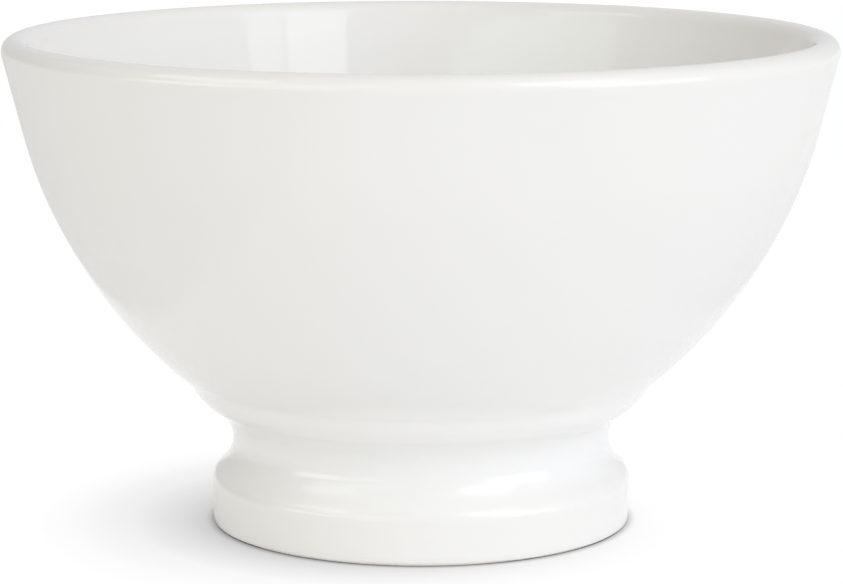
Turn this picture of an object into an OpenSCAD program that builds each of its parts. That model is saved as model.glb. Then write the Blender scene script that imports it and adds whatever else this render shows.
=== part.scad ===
// Footed ceramic bowl: a turned bowl on a hollow pedestal foot, luted together with slip and glazed white.
// Its outline is one chain of tangent arcs and straight walls, turned about the upright axis.
// Sizes are in millimetres with the glaze on. +Z is up, and the origin is the middle of the standing ring.

/* [Bowl] */
// Diameter across the lip
rim_d = 140; // [130:1:156]
// Height from the table to the top of the lip
bowl_h = 83; // [76:0.5:96]
// Thickness of the wall, over which the lip is a full half round
wall_t = 4.6; // [3:0.1:7]
// Thickness of the floor in the middle
floor_t = 6; // [4:0.1:10]
// Lean of the straight upper wall, in degrees out from upright
flare_lean = 14; // [8:0.5:20]
// Length of the straight upper wall, below the lip
flare_len = 13; // [4:0.5:22]
// Radius of the underside, from the crease over the foot to the level middle
underside_r = 30; // [22:0.5:38]
// Radius between the inside wall and the level floor
inside_r = 26; // [16:0.5:34]

/* [Foot] */
// Diameter of the crease between bowl and foot
crease_d = 79; // [75:0.5:84]
// Height of that crease above the table
crease_z = 24.5; // [22:0.5:30]
// How much steeper the collar stands than the bowl at the crease, in degrees
collar_step = 25; // [18:1:34]
// Radius of the rounded collar under the crease
collar_r = 11; // [8:0.5:16]
// Diameter of the waist, at its narrowest
waist_d = 64.3; // [58:0.1:68]
// Radius of the hollow round the waist
waist_r = 6.3; // [4.5:0.1:8]
// How far the foot ring stands out past the waist
ring_out = 3.55; // [2:0.05:6]
// Radius over the shoulder of the foot ring
shoulder_r = 2.9; // [1.5:0.1:4.5]
// Lean of the ring's outer wall, in degrees
ring_lean = 1.5; // [0:0.5:8]
// Thickness of the foot's wall at the waist
foot_wall = 4.6; // [3:0.1:7]
// How far the foot's hollow widens towards the table, in degrees
well_draft = 8; // [2:0.5:14]
// Radius on both edges of the standing ring
edge_r = 0.7; // [0.3:0.1:1.2]

/* [Slip and glaze] */
// Thickness of the slip between bowl and foot
slip_t = 0.5; // [0.3:0.1:1.2]
// Thickness of the glaze
glaze_t = 0.3; // [0.15:0.05:0.6]
// Radius of the glaze pooled in the crease
crease_r = 7; // [3:0.5:12]
// Radius of the glaze pooled in the corner of the foot's hollow
pool_r = 2; // [1:0.1:4]
// Height wiped bare of glaze, above the rounded edges of the standing ring
wiped_h = 0.2; // [0.1:0.1:2]

/* [Hidden] */

biscuit_colour = [0.93, 0.90, 0.84];
slip_colour = [0.90, 0.87, 0.81];
glaze_colour = [0.96, 0.96, 0.95];

// Longest step round an arc, in degrees, and the widest gap between an arc and its chord
arc_step = 6;
chord_gap = 0.01;
// Points closer than this are the same point
same_point = 0.001;
turned_facets = 180;

// A surface's lean is its angle from upright as the outline climbs: 0 is upright, positive leans outward,
// and past -90 the outline runs down the inside. These give the way it runs and the way it faces.
function along(lean) = [sin(lean), cos(lean)];
function facing(lean) = [cos(lean), -sin(lean)];
function lean_facing(v) = -atan2(v.y, v.x);

// An arc is [centre, radius, first lean, last lean], and a hollow arc has a negative radius.
// Depth moves it into the clay, so that one arc gives the face of the glaze and of the body under it.
function arc_parts(a) =
    let (step = min(arc_step, 2 * acos(1 - chord_gap / abs(a[1]))))
    max(1, ceil(abs(a[3] - a[2]) / step));
function arc_point(a, depth, lean) = a[0] + (a[1] - depth) * facing(lean);
function arc_points(a, depth) =
    let (parts = arc_parts(a))
    [for (i = [0:parts]) arc_point(a, depth, a[2] + (a[3] - a[2]) * i / parts)];
function chain(arcs, depth) = [for (a = arcs) each arc_points(a, depth)];
function flipped(a) = [a[0], a[1], a[3], a[2]];
function reversed(points) = [for (i = [len(points) - 1:-1:0]) points[i]];

// Outer crossing of two circles, and the point where a line leaves a circle
function circles_cross(c1, r1, c2, r2) =
    let (v = c2 - c1, gap = norm(v), u = v / gap, x = (gap ^ 2 + r1 ^ 2 - r2 ^ 2) / (2 * gap))
    c1 + x * u + sqrt(r1 ^ 2 - x ^ 2) * [u.y, -u.x];
function line_leaves(p, dir, c, r) =
    let (w = p - c, h = w * dir)
    p + (sqrt(h ^ 2 - w * w + r ^ 2) - h) * dir;
function at_height(p, lean, z) = p + (z - p.y) / cos(lean) * along(lean);

// Lip and straight upper wall, down to where the belly starts
lip_c = [(rim_d - wall_t) / 2, bowl_h - wall_t / 2];
lip = [lip_c, wall_t / 2, flare_lean, flare_lean - 180];
flare_foot = lip_c + wall_t / 2 * facing(flare_lean) - flare_len * along(flare_lean);

// Belly: the one arc that leaves the straight wall in line with it and comes down to the crease
crease = [crease_d / 2, crease_z];
belly_chord = flare_foot - crease;
chord_lean = atan2(belly_chord.x, belly_chord.y);
crease_lean = 2 * chord_lean - flare_lean;
belly_r = norm(belly_chord) / (2 * sin(chord_lean - flare_lean));
belly_c = flare_foot - belly_r * facing(flare_lean);
belly = [belly_c, belly_r, crease_lean, flare_lean];

// Underside: goes on from the belly below the crease, to the level middle over the foot's hollow
under_c = crease - underside_r * facing(crease_lean);
well_z = under_c.y - underside_r;

// Inside: the wall keeps its thickness down to the radius that leads into the floor
floor_z = well_z + floor_t;
inside_wall_r = belly_r - wall_t;
inside_dz = floor_z + inside_r - belly_c.y;
inside_c = belly_c + [sqrt((inside_wall_r - inside_r) ^ 2 - inside_dz ^ 2), inside_dz];
inside_lean = lean_facing(inside_c - belly_c) - 180;
inside_wall = [belly_c, -inside_wall_r, flare_lean - 180, inside_lean];
inside_floor = [inside_c, -inside_r, inside_lean, -90];

// Collar, waist and shoulder: each circle touches the next
collar_c = crease - collar_r * facing(crease_lean - collar_step);
waist_x = waist_d / 2 + waist_r;
waist_c = [waist_x, collar_c.y - sqrt((waist_r + collar_r) ^ 2 - (waist_x - collar_c.x) ^ 2)];
shoulder_x = waist_d / 2 + ring_out - shoulder_r;
shoulder_c = [shoulder_x, waist_c.y - sqrt((waist_r + shoulder_r) ^ 2 - (waist_x - shoulder_x) ^ 2)];
throat_lean = lean_facing(waist_c - collar_c);
step_lean = lean_facing(waist_c - shoulder_c);
shoulder = [shoulder_c, shoulder_r, ring_lean, step_lean];
waist = [waist_c, -waist_r, step_lean, throat_lean];

// Glaze pooled in the crease, between the collar and the belly
pool_c = circles_cross(collar_c, collar_r + crease_r, belly_c, belly_r + crease_r);
collar_top = lean_facing(pool_c - collar_c);
belly_foot = lean_facing(pool_c - belly_c);
crease_pool = [pool_c, -crease_r, collar_top, belly_foot];
collar_shown = [collar_c, collar_r, throat_lean, collar_top];
belly_shown = [belly_c, belly_r, belly_foot, flare_lean];

// Hollow of the foot: a drafted wall, set in from the waist by the foot's wall, up to the bowl's underside.
// A face at radius r round the underside's centre is an arc out there, and level nearer the axis.
well_lean = 180 - well_draft;
well_side = [waist_d / 2 - foot_wall, waist_c.y];
function roof_over(p, r) =
    let (meet = line_leaves(p, along(well_lean), under_c, r))
    meet.x > under_c.x ? meet : at_height(p, well_lean, under_c.y - r);
function roof_lean(p) = p.x > under_c.x ? lean_facing(p - under_c) : 90;
corner_c = roof_over(well_side + pool_r * facing(well_lean), underside_r + pool_r);
corner_lean = roof_lean(corner_c);
corner_pool = [corner_c, -pool_r, corner_lean, well_lean];
well_roof = [under_c, underside_r, 90, corner_lean];

// Seat: the foot's top follows the bowl's underside, the thickness of the slip away from it
body_side = well_side - glaze_t * facing(well_lean);
under_body_r = underside_r - glaze_t;
seat_body_r = under_body_r + slip_t;
bowl_edge = circles_cross(collar_c, collar_r - glaze_t, under_c, under_body_r);
foot_edge = circles_cross(collar_c, collar_r - glaze_t, under_c, seat_body_r);
bowl_corner = roof_over(body_side, under_body_r);
foot_corner = roof_over(body_side, seat_body_r);
bowl_edge_lean = lean_facing(bowl_edge - under_c);
foot_edge_lean = lean_facing(foot_edge - collar_c);
under_middle = [under_c, underside_r, 90, roof_lean(bowl_corner)];
under_slip = [under_c, underside_r, roof_lean(bowl_corner), bowl_edge_lean];
under_outer = [under_c, underside_r, bowl_edge_lean, crease_lean];
seat = [under_c, underside_r + slip_t, roof_lean(foot_corner), lean_facing(foot_edge - under_c)];
collar_clay = [collar_c, collar_r, throat_lean, foot_edge_lean];
collar_slip = [collar_c, collar_r, foot_edge_lean, lean_facing(bowl_edge - collar_c)];

// Standing ring: rounded on both edges, and bare up to the line where the glaze was wiped away
ring_side = shoulder_c + shoulder_r * facing(ring_lean);
edge_depth = glaze_t + edge_r;
inner_edge_c = at_height(well_side - edge_depth * facing(well_lean), well_lean, edge_r);
outer_edge_c = at_height(ring_side - edge_depth * facing(ring_lean), ring_lean, edge_r);
inner_edge = [inner_edge_c, edge_r, well_lean, 90];
outer_edge = [outer_edge_c, edge_r, 90, ring_lean];
glaze_line = edge_r + wiped_h;

module turned(points) {
    last = len(points) - 1;
    function step_to(i) = norm(points[i] - points[i == 0 ? last : i - 1]);
    rotate_extrude($fn = turned_facets)
        polygon([for (i = [0:last]) if (step_to(i) > same_point) points[i]]);
}

module bowl() {
    body = [under_middle, under_slip, under_outer, belly, lip, inside_wall, inside_floor];
    color(biscuit_colour)
        turned(concat([[0, well_z + glaze_t]], chain(body, glaze_t), [[0, floor_z - glaze_t]]));
}

module foot() {
    color(biscuit_colour)
        turned(concat(
            chain([inner_edge, outer_edge], 0),
            chain([shoulder, waist, collar_clay, flipped(seat)], glaze_t), [foot_corner]
        ));
}

module luting_slip() {
    color(slip_colour)
        turned(concat(
            chain([collar_slip, flipped(under_slip)], glaze_t), [bowl_corner, foot_corner],
            arc_points(seat, glaze_t)
        ));
}

module glaze_coat() {
    face = [shoulder, waist, collar_shown, crease_pool, belly_shown, lip, inside_wall, inside_floor];
    body = [shoulder, waist, collar_clay, collar_slip, under_outer, belly, lip, inside_wall, inside_floor];
    start = at_height(ring_side, ring_lean, glaze_line);
    body_start = at_height(ring_side - glaze_t * facing(ring_lean), ring_lean, glaze_line);
    color(glaze_colour)
        turned(concat(
            [start], chain(face, 0), [[0, floor_z], [0, floor_z - glaze_t]],
            reversed(chain(body, glaze_t)), [body_start]
        ));
}

module foot_well_glaze() {
    color(glaze_colour)
        turned(concat(
            [[0, well_z]], chain([well_roof, corner_pool], 0), [at_height(well_side, well_lean, glaze_line)],
            [at_height(body_side, well_lean, glaze_line), bowl_corner],
            reversed(arc_points(under_middle, glaze_t)), [[0, well_z + glaze_t]]
        ));
}

bowl();
foot();
luting_slip();
glaze_coat();
foot_well_glaze();
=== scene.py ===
import math

import bpy
import numpy as np
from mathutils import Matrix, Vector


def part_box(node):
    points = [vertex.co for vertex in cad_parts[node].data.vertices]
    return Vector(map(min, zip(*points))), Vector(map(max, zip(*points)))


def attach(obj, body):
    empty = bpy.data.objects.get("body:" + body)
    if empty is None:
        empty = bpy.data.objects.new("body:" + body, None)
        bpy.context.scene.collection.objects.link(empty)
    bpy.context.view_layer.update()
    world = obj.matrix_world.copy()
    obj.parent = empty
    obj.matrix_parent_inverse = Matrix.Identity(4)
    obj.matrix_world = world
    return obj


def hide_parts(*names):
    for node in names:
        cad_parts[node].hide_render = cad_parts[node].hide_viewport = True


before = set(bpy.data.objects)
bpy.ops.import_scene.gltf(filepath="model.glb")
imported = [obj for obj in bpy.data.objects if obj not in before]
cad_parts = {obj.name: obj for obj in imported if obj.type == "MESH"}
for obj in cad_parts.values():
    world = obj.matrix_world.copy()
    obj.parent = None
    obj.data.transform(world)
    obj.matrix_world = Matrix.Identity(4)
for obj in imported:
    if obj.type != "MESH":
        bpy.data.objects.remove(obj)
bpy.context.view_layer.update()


# Bowl: one thick-walled turning of white stoneware clay, fired once to a matt biscuit.
# Its wall leans out straight below the lip, and its round underside sits in the seat of the foot.
# Glaze hides it all over, so the frame's own solid stays and takes the finish of bare clay.
MM = 0.001
lip_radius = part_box("glaze_coat")[1].x
bowl_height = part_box("glaze_coat")[1].z
wall = 4.6 * MM
floor_thickness = 6 * MM
flare_lean = math.radians(14)
flare_length = 13 * MM
crease = np.array([39.5, 24.5]) * MM
underside_radius = 30 * MM
inside_radius = 26 * MM
biscuit_pale = (0.93, 0.915, 0.885, 1)
biscuit_dark = (0.89, 0.865, 0.82, 1)
biscuit_line_height = 0.03 * MM


def facing(lean):
    """Which way a surface faces, as (away from the axis, up): (cos, -sin) of its lean.
    The lean is the angle from upright as the outline of the surface climbs."""
    return np.stack([np.cos(lean), -np.sin(lean)], axis=-1)


def climbing(lean):
    """Which way the outline of that surface runs: (sin, cos) of its lean."""
    return np.stack([np.sin(lean), np.cos(lean)], axis=-1)


def lean_facing(way):
    """The lean of a surface that faces that way."""
    return -math.atan2(way[1], way[0])


# An arc of an outline is (centre, radius, first lean, last lean), and a hollow arc has a negative radius.
lip_centre = np.array([lip_radius - wall / 2, bowl_height - wall / 2])
lip = (lip_centre, wall / 2, flare_lean, flare_lean - math.pi)
flare_foot = lip_centre + wall / 2 * facing(flare_lean) - flare_length * climbing(flare_lean)
belly_chord = flare_foot - crease
chord_lean = math.atan2(*belly_chord)
crease_lean = 2 * chord_lean - flare_lean
belly_radius = np.linalg.norm(belly_chord) / (2 * math.sin(chord_lean - flare_lean))
belly_centre = flare_foot - belly_radius * facing(flare_lean)
belly = (belly_centre, belly_radius, crease_lean, flare_lean)
under_centre = crease - underside_radius * facing(crease_lean)
well_top = under_centre[1] - underside_radius
floor_top = well_top + floor_thickness
inside_wall_radius = belly_radius - wall
inside_rise = floor_top + inside_radius - belly_centre[1]
inside_out = math.sqrt((inside_wall_radius - inside_radius) ** 2 - inside_rise ** 2)
inside_centre = belly_centre + np.array([inside_out, inside_rise])
inside_lean = lean_facing(inside_centre - belly_centre) - math.pi
inside_wall = (belly_centre, -inside_wall_radius, flare_lean - math.pi, inside_lean)
inside_floor = (inside_centre, -inside_radius, inside_lean, -math.pi / 2)


class Wire:
    """A socket in a node tree. Sums on wires and numbers add Math nodes, and node() adds any other node."""

    def __init__(self, tree, socket=None):
        self.tree = tree
        self.socket = socket

    def node(self, kind, settings, sockets, out=0):
        """Adds a node with those settings and socket values or links, and gives one of its outputs."""
        made = self.tree.nodes.new(kind)
        for name, value in settings.items():
            if name == "stops":
                for place, colour in value[2:]:
                    made.color_ramp.elements.new(place)
                for stop, (place, colour) in zip(made.color_ramp.elements, value):
                    stop.position = place
                    stop.color = colour
            else:
                setattr(made, name, value)
        for key, value in sockets.items():
            if isinstance(value, Wire):
                self.tree.links.new(value.socket, made.inputs[key])
            else:
                made.inputs[key].default_value = value
        return Wire(self.tree, made.outputs[out] if len(made.outputs) else None)

    def sum(self, operation, first, second=0.0):
        """One Math node."""
        return self.node("ShaderNodeMath", {"operation": operation}, {0: first, 1: second})

    def mix(self, share, first, second):
        """The first colour where the share is 0, the second where it is 1."""
        return self.node("ShaderNodeMix", {"data_type": "RGBA"}, {0: share, 6: first, 7: second}, out=2)

    def __add__(self, other):
        return self.sum("ADD", self, other)

    def __sub__(self, other):
        return self.sum("SUBTRACT", self, other)

    def __rsub__(self, other):
        return self.sum("SUBTRACT", other, self)

    def __mul__(self, other):
        return self.sum("MULTIPLY", self, other)

    def __truediv__(self, other):
        return self.sum("DIVIDE", self, other)

    __radd__ = __add__
    __rmul__ = __mul__


def new_material(name):
    """An empty node material, and a wire to build it with."""
    material = bpy.data.materials.new(name)
    material.use_nodes = True
    material.node_tree.nodes.clear()
    return material, Wire(material.node_tree)


def noise(tree, place, grain, detail=2.0, roughness=0.5):
    """Noise from 0 to 1 whose patches are about grain metres across."""
    sockets = {"Vector": place, "Scale": 1 / grain, "Detail": detail, "Roughness": roughness}
    return tree.node("ShaderNodeTexNoise", {"noise_dimensions": "3D"}, sockets)


def bare_clay(name, pale, dark, line_height):
    """Matt fired clay: cloudy colour, dark grains, pores, and turning lines that run round the axis."""
    cloud_size = 6 * MM
    grain_size = 0.35 * MM
    grain_height = 0.04 * MM
    grain_colour = (0.55, 0.47, 0.38, 1)
    line_width = 0.4 * MM
    material, tree = new_material(name)
    place = tree.node("ShaderNodeTexCoord", {}, {}, out=3)
    clouds = noise(tree, place, cloud_size, detail=4)
    grains = noise(tree, place, grain_size, detail=3, roughness=0.7)
    flat = tree.node("ShaderNodeVectorMath", {"operation": "MULTIPLY"}, {0: place, 1: (1, 1, 0)})
    away = tree.node("ShaderNodeVectorMath", {"operation": "LENGTH"}, {0: flat}, out=1)
    across = {"W": away, "Scale": 1 / line_width, "Detail": 3}
    lines = tree.node("ShaderNodeTexNoise", {"noise_dimensions": "1D"}, across)
    speckled = {"stops": [(0.30, (1, 1, 1, 1)), (0.36, (0, 0, 0, 1))]}
    speck = tree.node("ShaderNodeValToRGB", speckled, {0: grains})
    colour = tree.mix(0.75 * clouds, pale, dark)
    colour = tree.mix(0.35 * speck, colour, grain_colour)
    relief = line_height * lines + grain_height * grains
    bumped = tree.node("ShaderNodeBump", {}, {"Strength": 1.0, "Distance": 1.0, "Height": relief})
    sockets = {"Base Color": colour, "Roughness": 0.72 + 0.2 * grains, "Normal": bumped}
    shader = tree.node("ShaderNodeBsdfPrincipled", {}, sockets)
    tree.node("ShaderNodeOutputMaterial", {}, {0: shader})
    return material


biscuit = bare_clay("biscuit_clay", biscuit_pale, biscuit_dark, biscuit_line_height)
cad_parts["bowl"].material_slots[0].material = biscuit


# Foot: a hollow pedestal of the same clay, turned with a rounded collar, a waist and a standing ring.
# Its dished top is the seat that the bowl's underside was luted to.
# Only the standing ring stays bare: it was wiped clean, and shows the fine lines of the turning tool.
collar_step = math.radians(25)
collar_radius = 11 * MM
waist_inner = 32.15 * MM
waist_radius = 6.3 * MM
ring_out = 3.55 * MM
shoulder_radius = 2.9 * MM
ring_lean = math.radians(1.5)
foot_wall = 4.6 * MM
well_draft = math.radians(8)
edge_radius = 0.4 * MM
slip = 0.5 * MM
glaze = 0.3 * MM
line_depth = 0.02 * MM
line_spacing = 0.62 * MM
turned_steps = 240


def touching_below(centre, reach, out):
    """Centre, that far out from the axis, of a circle under another one.
    The reach is the distance between the two centres."""
    return np.array([out, centre[1] - math.sqrt(reach ** 2 - (out - centre[0]) ** 2)])


def outer_crossing(first, first_radius, second, second_radius):
    """Where two circles cross, on the side away from the axis."""
    gap = second - first
    length = np.linalg.norm(gap)
    ahead = gap / length
    share = (length ** 2 + first_radius ** 2 - second_radius ** 2) / (2 * length)
    aside = np.array([ahead[1], -ahead[0]])
    return first + share * ahead + math.sqrt(first_radius ** 2 - share ** 2) * aside


def under_the_roof(start, lean, radius):
    """Where a wall from start, climbing with that lean, meets a circle round the underside's centre."""
    from_centre = start - under_centre
    ahead = from_centre @ climbing(lean)
    climb = math.sqrt(ahead ** 2 - from_centre @ from_centre + radius ** 2) - ahead
    return start + climb * climbing(lean)


def at_height(start, lean, height):
    """The point of a wall from start, with that lean, at a height."""
    return start + (height - start[1]) / math.cos(lean) * climbing(lean)


def outline(arcs, depth=0.0, longest=1.0 * MM, turn=math.radians(7.5)):
    """Points along a chain of arcs: centre + (radius - depth) * facing(lean).
    The lean turns evenly along each arc."""
    rows = []
    for centre, radius, first, last in arcs:
        sweep = abs(last - first)
        parts = math.ceil(max(sweep / turn, sweep * abs(radius) / longest))
        rows.append(centre + (radius - depth) * facing(np.linspace(first, last, parts + 1)))
    return np.concatenate(rows)


def filled(points, longest=1.0 * MM):
    """The same outline without repeated points, and with its long straight steps cut into short ones."""
    steps = np.linalg.norm(np.diff(points, axis=0), axis=1)
    points = points[np.append(True, steps > 0.001 * MM)]
    steps = np.linalg.norm(np.diff(points, axis=0), axis=1)
    parts = np.ceil(steps / longest).astype(int)
    start = np.repeat(np.arange(len(parts)), parts)
    share = (np.arange(len(start)) - np.repeat(np.cumsum(parts) - parts, parts)) / parts[start]
    cut = points[start] + share[:, None] * (points[start + 1] - points[start])
    return np.append(cut, points[-1:], axis=0)


def turned(name, radius, height, poles=None):
    """Carries an outline once round the axis: the point (r cos a, r sin a, z) for each r, z along it
    and each angle a. It ends in the two poles, heights on the axis, where those are given, and is
    otherwise closed on itself."""
    angle = np.arange(turned_steps) * 2 * math.pi / turned_steps
    radius, height, angle = np.broadcast_arrays(radius, height, angle)
    points = np.stack([radius * np.cos(angle), radius * np.sin(angle), height], axis=-1).reshape(-1, 3)
    rows = len(radius)
    index = np.arange(rows * turned_steps).reshape(rows, turned_steps)
    ring = index if poles else np.vstack([index, index[:1]])
    beside = np.roll(ring, -1, axis=1)
    faces = np.stack([ring[:-1], beside[:-1], beside[1:], ring[1:]], axis=-1).reshape(-1, 4).tolist()
    if poles:
        first, last = len(points), len(points) + 1
        points = np.vstack([points, [[0, 0, poles[0]], [0, 0, poles[1]]]])
        faces += np.stack([np.full(turned_steps, first), beside[0], ring[0]], axis=-1).tolist()
        faces += np.stack([np.full(turned_steps, last), ring[-1], beside[-1]], axis=-1).tolist()
    mesh = bpy.data.meshes.new(name)
    mesh.from_pydata(points.tolist(), [], faces)
    mesh.shade_smooth()
    made = bpy.data.objects.new(name, mesh)
    bpy.context.scene.collection.objects.link(made)
    return made


collar_centre = crease - collar_radius * facing(crease_lean - collar_step)
waist_centre = touching_below(collar_centre, waist_radius + collar_radius, waist_inner + waist_radius)
shoulder_out = waist_inner + ring_out - shoulder_radius
shoulder_centre = touching_below(waist_centre, waist_radius + shoulder_radius, shoulder_out)
throat_lean = lean_facing(waist_centre - collar_centre)
step_lean = lean_facing(waist_centre - shoulder_centre)
shoulder = (shoulder_centre, shoulder_radius, ring_lean, step_lean)
waist = (waist_centre, -waist_radius, step_lean, throat_lean)
ring_side = shoulder_centre + shoulder_radius * facing(ring_lean)
well_lean = math.pi - well_draft
well_side = np.array([waist_inner - foot_wall, waist_centre[1]])
body_side = well_side - glaze * facing(well_lean)
seat_body = underside_radius - glaze + slip
foot_edge = outer_crossing(collar_centre, collar_radius - glaze, under_centre, seat_body)
foot_corner = under_the_roof(body_side, well_lean, seat_body)
seat_leans = (lean_facing(foot_edge - under_centre), lean_facing(foot_corner - under_centre))
seat = (under_centre, underside_radius + slip, *seat_leans)
foot_edge_lean = lean_facing(foot_edge - collar_centre)
collar_clay = (collar_centre, collar_radius, throat_lean, foot_edge_lean)
edge_depth = glaze + edge_radius
inner_edge_centre = at_height(well_side - edge_depth * facing(well_lean), well_lean, edge_radius)
outer_edge_centre = at_height(ring_side - edge_depth * facing(ring_lean), ring_lean, edge_radius)
inner_edge = (inner_edge_centre, edge_radius, well_lean, math.pi / 2)
outer_edge = (outer_edge_centre, edge_radius, math.pi / 2, ring_lean)

standing = filled(outline([inner_edge, outer_edge]), longest=line_spacing / 5)
above = filled(outline([shoulder, waist, collar_clay, seat], glaze))
foot_outline = np.vstack([standing, above, foot_corner])
flatness = np.clip((edge_radius - foot_outline[:, 1]) / edge_radius, 0, 1) ** 4
grooves = (1 - np.cos(2 * math.pi * foot_outline[:, 0] / line_spacing)) / 2
foot_height = foot_outline[:, 1] + line_depth * flatness * grooves
foot = turned("foot_clay", foot_outline[:, :1], foot_height[:, None])
foot.data.materials.append(biscuit)
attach(foot, "root")
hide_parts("foot")


# Luting slip: the thin bed of the same clay, let down with water, that the bowl was pressed into.
# It was spread over the seat of the foot and fired with both, and the glaze covers its edge.
slip_pale = (0.88, 0.85, 0.80, 1)
slip_dark = (0.81, 0.77, 0.70, 1)
fired_slip = bare_clay("fired_slip", slip_pale, slip_dark, 0.0)
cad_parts["luting_slip"].material_slots[0].material = fired_slip


# Glaze coat: one white glossy glaze over the outside, the lip and the inside, poured and fired on the clay.
# It ran together in the crease over the foot and drew thin over the lip.
# Its whiteness also carries painted light and shade: paler around the waist, the crease and the lower
# belly, and greyer on the standing ring, up the wall and on the inside.
# It ends in a wiped line, a little above the table.
glaze_line = 0.5 * MM
line_wave = 0.12 * MM
crease_pool_radius = 7 * MM
ripple = 0.05 * MM
pole_gap = 0.4 * MM
body_step = 3 * MM
body_turn = math.radians(15)
edge_turn = math.radians(45)
pool_reach = 4.5 * MM
thin_reach = 2.6 * MM
inside_blend = 6 * MM
# Painted light and shade in the glaze tone: the inside is set greyer as painted shade. The outside follows
# tones listed by height, greyer on the ring and up the wall and paler around the waist and crease.
inside_painted_shade_depth = 0.3
painted_light_heights = [7, 12, 24.5, 30, 45, 60, 83]
painted_light_depths = [0.0, 0.45, 0.8, 0.5, 0.35, 0.1, 0.05]
pool_centre = outer_crossing(
    collar_centre, collar_radius + crease_pool_radius, belly_centre, belly_radius + crease_pool_radius
)
collar_top = lean_facing(pool_centre - collar_centre)
belly_foot = lean_facing(pool_centre - belly_centre)
crease_pool = (pool_centre, -crease_pool_radius, collar_top, belly_foot)
collar_shown = (collar_centre, collar_radius, throat_lean, collar_top)
belly_shown = (belly_centre, belly_radius, belly_foot, flare_lean)
bowl_edge = outer_crossing(collar_centre, collar_radius - glaze, under_centre, underside_radius - glaze)
collar_slip = (collar_centre, collar_radius, foot_edge_lean, lean_facing(bowl_edge - collar_centre))
under_outer = (under_centre, underside_radius, lean_facing(bowl_edge - under_centre), crease_lean)
lip_and_inside = (lip, inside_wall, inside_floor)

face_start = at_height(ring_side, ring_lean, glaze_line)
body_start = at_height(ring_side - glaze * facing(ring_lean), ring_lean, glaze_line)
face = outline([shoulder, waist, collar_shown, crease_pool, belly_shown, *lip_and_inside])
face = filled(np.vstack([face_start, face, [pole_gap, floor_top]]))
body_arcs = [shoulder, waist, collar_clay, collar_slip, under_outer, belly, *lip_and_inside]
body = outline(body_arcs, glaze, longest=body_step, turn=body_turn)
body = filled(np.vstack([body_start, body, [pole_gap, floor_top - glaze]]), longest=body_step)
edge_centre = (face_start + body_start) / 2
edge = outline([(edge_centre, glaze / 2, ring_lean + math.pi, ring_lean)], turn=edge_turn)[1:-1]
coat = np.vstack([body[::-1], edge, face])


def rippled(points, face_from):
    """The face of a glaze after it ran: three long waves round and along it lower it by up to ripple,
    and by nothing at the axis. Close to the table, three waves round it shift the wiped line up and down.
    A wave is its share times sin(times round * angle + turn along the outline + start)."""
    along_waves = [(0.5, 4, 31 * MM, 0.0), (0.3, 7, -19 * MM, 1.3), (0.2, 11, 23 * MM, 2.1)]
    line_waves = [(0.6, 3, 0.4), (0.3, 8, 1.0), (0.2, 13, 0.0)]
    calm_radius = 20 * MM
    wiped_height = 2 * MM
    edge_rows = 8
    angle = np.arange(turned_steps) * 2 * math.pi / turned_steps
    length = np.append(0, np.cumsum(np.linalg.norm(np.diff(points, axis=0), axis=1)))[:, None]
    waves = sum(
        share * np.sin(times * angle + 2 * math.pi * length / wave + start)
        for share, times, wave, start in along_waves
    )
    run = np.gradient(points, axis=0)
    run = run / np.linalg.norm(run, axis=1, keepdims=True)
    away = np.stack([run[:, 1], -run[:, 0]], axis=-1)
    strength = np.clip(points[:, :1] / calm_radius, 0, 1) ** 2
    strength = strength * np.clip((np.arange(len(points))[:, None] - face_from) / edge_rows, 0, 1)
    lower = -ripple * strength * (1 + waves) / 2
    wiped = np.clip(1 - (points[:, 1:] - glaze_line) / wiped_height, 0, 1) ** 2
    wander = sum(share * np.sin(times * angle + start) for share, times, start in line_waves)
    radius = points[:, :1] + lower * away[:, :1]
    height = points[:, 1:] + lower * away[:, 1:] + line_wave * wiped * wander
    return radius, height


def white_glaze(name):
    """White glaze: faint clouds, a warmer, greyer tone where it is thin and where shade is painted, and a
    clearer white where it pooled and where light is painted, and an even gloss that its fine orange peel
    breaks up a little."""
    thin_and_painted_shade_white = (0.905, 0.900, 0.886, 1)
    even_white = (0.945, 0.945, 0.941, 1)
    pooled_and_painted_light_white = (0.976, 0.976, 0.972, 1)
    cloud_white = (0.917, 0.915, 0.906, 1)
    cloud_size = 14 * MM
    peel_size = 2.2 * MM
    peel_height = 0.005 * MM
    fine_size = 0.5 * MM
    fine_height = 0.0008 * MM
    material, tree = new_material(name)
    place = tree.node("ShaderNodeTexCoord", {}, {}, out=3)
    depth = tree.node("ShaderNodeAttribute", {"attribute_name": "glaze_depth"}, {}, out=2)
    clouds = noise(tree, place, cloud_size, detail=3)
    peel = noise(tree, place, peel_size, detail=2)
    fine = noise(tree, place, fine_size, detail=2)
    # Painted light and shade: the ramp runs from grey to pale along an attribute that holds both the
    # glaze's real thickness and painted light.
    tone = {"stops": [(0.0, thin_and_painted_shade_white), (0.5, even_white), (1.0, pooled_and_painted_light_white)]}
    colour = tree.node("ShaderNodeValToRGB", tone, {0: depth})
    colour = tree.mix(0.25 * clouds, colour, cloud_white)
    relief = peel_height * peel + fine_height * fine
    bumped = tree.node("ShaderNodeBump", {}, {"Strength": 1.0, "Distance": 1.0, "Height": relief})
    sockets = {"Base Color": colour, "Roughness": 0.04 + 0.05 * clouds, "Normal": bumped, "IOR": 1.5}
    shader = tree.node("ShaderNodeBsdfPrincipled", {}, sockets)
    tree.node("ShaderNodeOutputMaterial", {}, {0: shader})
    return material


def store_depth(piece, depth):
    """Keeps the glaze's tone on the piece's points: 0 drawn thin, 0.5 even, 1 pooled. The tone carries the
    glaze's real thickness and also painted light and shade.
    """
    values = np.resize(depth.astype(np.float32), len(piece.data.vertices))
    piece.data.attributes.new("glaze_depth", "FLOAT", "POINT").data.foreach_set("value", values)


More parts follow.
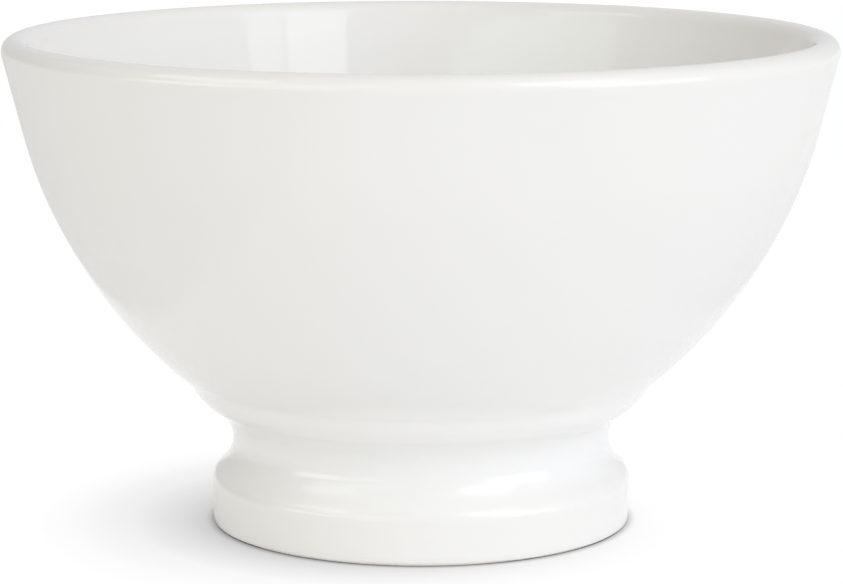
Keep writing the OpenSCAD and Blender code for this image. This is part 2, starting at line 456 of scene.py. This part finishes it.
glossy_white = white_glaze("white_glaze")
coat_radius, coat_height = rippled(coat, len(body) + len(edge))
glaze_coat = turned("glaze_skin", coat_radius, coat_height, (floor_top - glaze, floor_top))
from_crease = np.linalg.norm(coat - crease, axis=1)
from_lip = np.linalg.norm(coat - lip_centre, axis=1)
from_start = np.append(0, np.cumsum(np.linalg.norm(np.diff(coat, axis=0), axis=1)))
lip_length = from_start[np.argmax(coat[:, 1])]
inside = np.clip((from_start - lip_length) / inside_blend, 0, 1)
# Painted light: the crease is paler, partly from real pooling and partly as painted light against its
# shade.
pooled = np.exp(-(from_crease / pool_reach) ** 4)
thinned = np.exp(-(from_lip / thin_reach) ** 4)
# Painted light and shade by height: the outside is paler from the waist to the crease and lower belly, and
# greyer on the standing ring and up the wall. The inside is greyer as painted shade.
painted_light_by_height = np.interp(coat[:, 1] / MM, painted_light_heights, painted_light_depths)
depth = painted_light_by_height + (inside_painted_shade_depth - painted_light_by_height) * inside + 0.3 * pooled - 0.1 * thinned
store_depth(glaze_coat, np.repeat(depth, turned_steps))
glaze_coat.data.materials.append(glossy_white)
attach(glaze_coat, "root")
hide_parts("glaze_coat")


# Foot well glaze: the same glaze, swilled round the hollow under the foot before the ring was wiped.
# It lines the underside of the bowl and the drafted wall, and gathered in the corner between them.
corner_pool_radius = 2 * MM
corner_reach = 2 * MM
corner_centre = under_the_roof(
    well_side + corner_pool_radius * facing(well_lean), well_lean, underside_radius + corner_pool_radius
)
corner_lean = lean_facing(corner_centre - under_centre)
corner_pool = (corner_centre, -corner_pool_radius, corner_lean, well_lean)
well_roof = (under_centre, underside_radius, math.pi / 2, corner_lean)
bowl_corner = under_the_roof(body_side, well_lean, underside_radius - glaze)
under_middle = (under_centre, underside_radius, lean_facing(bowl_corner - under_centre), math.pi / 2)
well_face_end = at_height(well_side, well_lean, glaze_line)
well_body_end = at_height(body_side, well_lean, glaze_line)
well_face = outline([well_roof, corner_pool])
well_face = filled(np.vstack([[pole_gap, well_top], well_face, well_face_end]))
well_body = outline([under_middle], glaze)
well_body = np.vstack([well_body_end, bowl_corner, well_body, [pole_gap, well_top + glaze]])
well_body = filled(well_body, longest=body_step)
well_edge_centre = (well_face_end + well_body_end) / 2
well_edge = (well_edge_centre, glaze / 2, well_lean, well_lean - math.pi)
well_edge = outline([well_edge], turn=edge_turn)[1:-1]
well = np.vstack([well_face, well_edge, well_body])
well_radius, well_height = rippled(well[::-1], len(well_body) + len(well_edge))
well_glaze = turned("foot_well_skin", well_radius[::-1], well_height[::-1], (well_top, well_top + glaze))
from_corner = np.linalg.norm(well - bowl_corner, axis=1)
well_depth = 0.5 + 0.5 * np.exp(-(from_corner / corner_reach) ** 2)
store_depth(well_glaze, np.repeat(well_depth, turned_steps))
well_glaze.data.materials.append(glossy_white)
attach(well_glaze, "root")
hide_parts("foot_well_glaze")


# Camera: a long lens a little over half a metre in front of the bowl, above the lip and tipped down.
# Its focal length is given in pixels of the picture, and its dip in radians.
focal_pixels = 3252
image_width = 843
camera_place = (0.0001, -0.545, 0.1318)
camera_dip = 0.1688
camera_data = bpy.data.cameras.new("camera")
camera_data.sensor_width = 36
camera_data.lens = focal_pixels / image_width * camera_data.sensor_width
camera = bpy.data.objects.new("camera", camera_data)
camera.location = camera_place
camera.rotation_euler = (math.pi / 2 - camera_dip, 0, 0)
bpy.context.scene.collection.objects.link(camera)
bpy.context.scene.camera = camera


# Studio: a table with white paper along its middle, a pale room, and softboxes to both sides in front.
# The paper runs back out of sight. The grey table beside it gives the bowl's edges a thin dark line, and is
# painted darker on the left and paler on the right as shade of the light from the right.
# The table shows plain white with a painted shadow: occlusion lookups near the foot, under the bowl and
# toward the key side darken its white, standing in for where the foot and the bowl hide it from the light.
table_half = 4.0
paper_half = 0.074
paper_spread = 0.13
paper_fade = 0.012
fibre_size = 40 * MM
fibre_pale = (0.95, 0.95, 0.95, 1)
fibre_dark = (0.93, 0.93, 0.93, 1)
shown_white = (1.0, 1.0, 1.0, 1)
shaded_left_grey = 0.72
lit_right_grey = 0.92
grey_reach = 0.2
shade_share = 0.4
shade_reach = 30 * MM
near_share = 0.3
near_reach = 14 * MM
contact_share = 0.65
contact_reach = 1.5 * MM
table_mesh = bpy.data.meshes.new("table")
corners = np.array([(-1, -1, 0), (1, -1, 0), (1, 1, 0), (-1, 1, 0)]) * table_half
table_mesh.from_pydata(corners.tolist(), [], [(0, 1, 2, 3)])
table = bpy.data.objects.new("table", table_mesh)
bpy.context.scene.collection.objects.link(table)


def way_to(azimuth, elevation=0):
    """A direction, with its azimuth measured from straight behind the bowl to the right."""
    around, up = math.radians(azimuth), math.radians(elevation)
    return np.array([math.cos(up) * math.sin(around), math.cos(up) * math.cos(around), math.sin(up)])


table_white, tree = new_material("white_paper_with_painted_shadow_on_grey_table")
place = tree.node("ShaderNodeTexCoord", {}, {}, out=3)
aside = tree.node("ShaderNodeSeparateXYZ", {}, {0: place}, out=0)
back = tree.node("ShaderNodeSeparateXYZ", {}, {0: place}, out=1)
behind = tree.sum("MAXIMUM", back, 0.0)
past_edge = (tree.sum("ABSOLUTE", aside) - paper_half - paper_spread * behind) / paper_fade
grey_share = tree.node("ShaderNodeMapRange", {"interpolation_type": "SMOOTHSTEP"}, {"Value": past_edge})
fibres = noise(tree, place, fibre_size)
paper = tree.mix(fibres, fibre_pale, fibre_dark)
matt = tree.node("ShaderNodeBsdfDiffuse", {}, {"Color": paper})


def open_toward(direction, reach):
    """How much of the half room around that direction the table sees past what stands within reach."""
    normal = tree.node("ShaderNodeCombineXYZ", {}, dict(enumerate(direction.tolist())))
    return tree.node("ShaderNodeAmbientOcclusion", {}, {"Distance": reach, "Normal": normal}, out=1)


# Painted shadow on the table's shown white, from occlusion toward the key side, near the foot and at the
# contact.
open_to_key = open_toward(way_to(105), shade_reach)
open_near = tree.sum("POWER", open_toward(way_to(60, 45), near_reach), near_share)
open_above = tree.sum("POWER", open_toward(way_to(0, 90), contact_reach), contact_share)
painted_shadow = (1 - shade_share * (1 - open_to_key)) * open_near * open_above
# Painted shade: the grey beside the paper runs from darker on the left to paler on the right, as the light
# falls from the right.
from_left = {"Value": aside, "From Min": -grey_reach, "From Max": grey_reach}
grey = tree.node("ShaderNodeMapRange", {}, {**from_left, "To Min": shaded_left_grey, "To Max": lit_right_grey})
shown = tree.mix(grey_share, shown_white, grey)
shown = tree.node("ShaderNodeVectorMath", {"operation": "SCALE"}, {0: shown, "Scale": painted_shadow})
white = tree.node("ShaderNodeEmission", {}, {"Color": shown})
looks = ("Is Camera Ray", "Is Glossy Ray", "Is Transmission Ray")
seen = [tree.node("ShaderNodeLightPath", {}, {}, out=look) for look in looks]
both = tree.node("ShaderNodeMixShader", {}, {0: seen[0] + seen[1] + seen[2], 1: matt, 2: white})
tree.node("ShaderNodeOutputMaterial", {}, {0: both})
table_mesh.materials.append(table_white)

room_light = (0.745, 0.74, 0.69, 1)
left_light = (0.28, 0.23, 0.25, 1)
right_glow = (0.18, 0.21, 0.52)
dark_gap = (0, 0, 0, 1)
dark_share = 0.95
ceiling_light = (0.395, 0.375, 0.31, 1)
key_glow = (0.59, 0.59, 0.50)
back_glow = (0.20, 0.24, 0.46)
room = bpy.data.worlds.new("pale_room")
room.use_nodes = True
room.node_tree.nodes.clear()
tree = Wire(room.node_tree)
way = tree.node("ShaderNodeTexCoord", {}, {}, out=0)


def toward(azimuth, elevation, power):
    """How far a ray into the room goes that way, to a power: 1 straight along it, 0 at right angles to it
    or backwards."""
    ends = {0: way, 1: way_to(azimuth, elevation)}
    along = tree.node("ShaderNodeVectorMath", {"operation": "DOT_PRODUCT"}, ends, out=1)
    return tree.sum("POWER", tree.sum("MAXIMUM", along, 0.0), power)


def lit(share, colour, walls):
    """Adds a share of that light to the colour of the walls."""
    return tree.node("ShaderNodeVectorMath", {"operation": "MULTIPLY_ADD"}, {0: share, 1: colour, 2: walls})


walls = tree.mix(toward(-68, 0, 3.0), room_light, left_light)
walls = lit(toward(130, 0, 2.0), right_glow, walls)
walls = tree.mix(dark_share * toward(-74, 0, 24.0), walls, dark_gap)
sky = tree.mix(toward(0, 90, 1.0), walls, ceiling_light)
sky = lit(toward(120, 45, 6.0), key_glow, sky)
sky = lit(toward(0, 40, 6.0), back_glow, sky)
light = tree.node("ShaderNodeBackground", {}, {"Color": sky})
tree.node("ShaderNodeOutputWorld", {}, {0: light})
bpy.context.scene.world = room

lamp_distance = 0.9
shine_distance = 0.85
aim_height = bowl_height * 0.7


def softbox(name, azimuths, elevations, colour, distance=lamp_distance, lights=True):
    """A flat lamp that faces the bowl and fills those angles as seen from it.
    Its colour is how bright its face is, so its power is pi times its area."""
    azimuth, elevation = np.radians(azimuths), np.radians(elevations)
    around, up = azimuth.mean(), elevation.mean()
    lamp = bpy.data.lights.new(name, "AREA")
    lamp.shape = "RECTANGLE"
    lamp.size = 2 * distance * math.tan(np.ptp(azimuth) / 2) * math.cos(up)
    lamp.size_y = 2 * distance * math.tan(np.ptp(elevation) / 2)
    lamp.energy = math.pi * lamp.size * lamp.size_y
    lamp.color = colour
    made = bpy.data.objects.new(name, lamp)
    level = distance * math.cos(up)
    height = aim_height + distance * math.sin(up)
    made.location = (level * math.sin(around), level * math.cos(around), height)
    made.rotation_euler = (math.pi / 2 - up, 0, math.pi - around)
    made.visible_diffuse = lights
    bpy.context.scene.collection.objects.link(made)


def shine(name, azimuths, elevations, colour):
    """A softbox that shows in the gloss of the glaze only, and lights nothing."""
    softbox(name, azimuths, elevations, colour, shine_distance, lights=False)


softbox("key_softbox", (133, 155), (17, 44), (1.90, 1.95, 2.05))
softbox("key_edge_softbox", (119, 133), (17, 46), (1.20, 1.25, 1.35))
softbox("low_softbox", (103, 143), (-3, 17), (0.90, 0.90, 0.92))
softbox("fill_softbox", (-137, -98), (27, 46), (1.65, 1.65, 1.55))
softbox("wide_fill_softbox", (-169, -112), (15, 27), (0.32, 0.34, 0.33))
softbox("low_fill_softbox", (-160, -105), (-3, 9), (1.15, 1.15, 1.10))
shine("low_shine", (100, 141), (-3, 19), (0.65, 0.65, 0.67))
shine("low_fill_shine", (-132, -98), (-3, 8), (1.20, 1.20, 1.15))
shine("wide_fill_shine", (-169, -112), (15, 27), (0.52, 0.72, 0.66))

bpy.context.scene.view_settings.view_transform = "Standard"
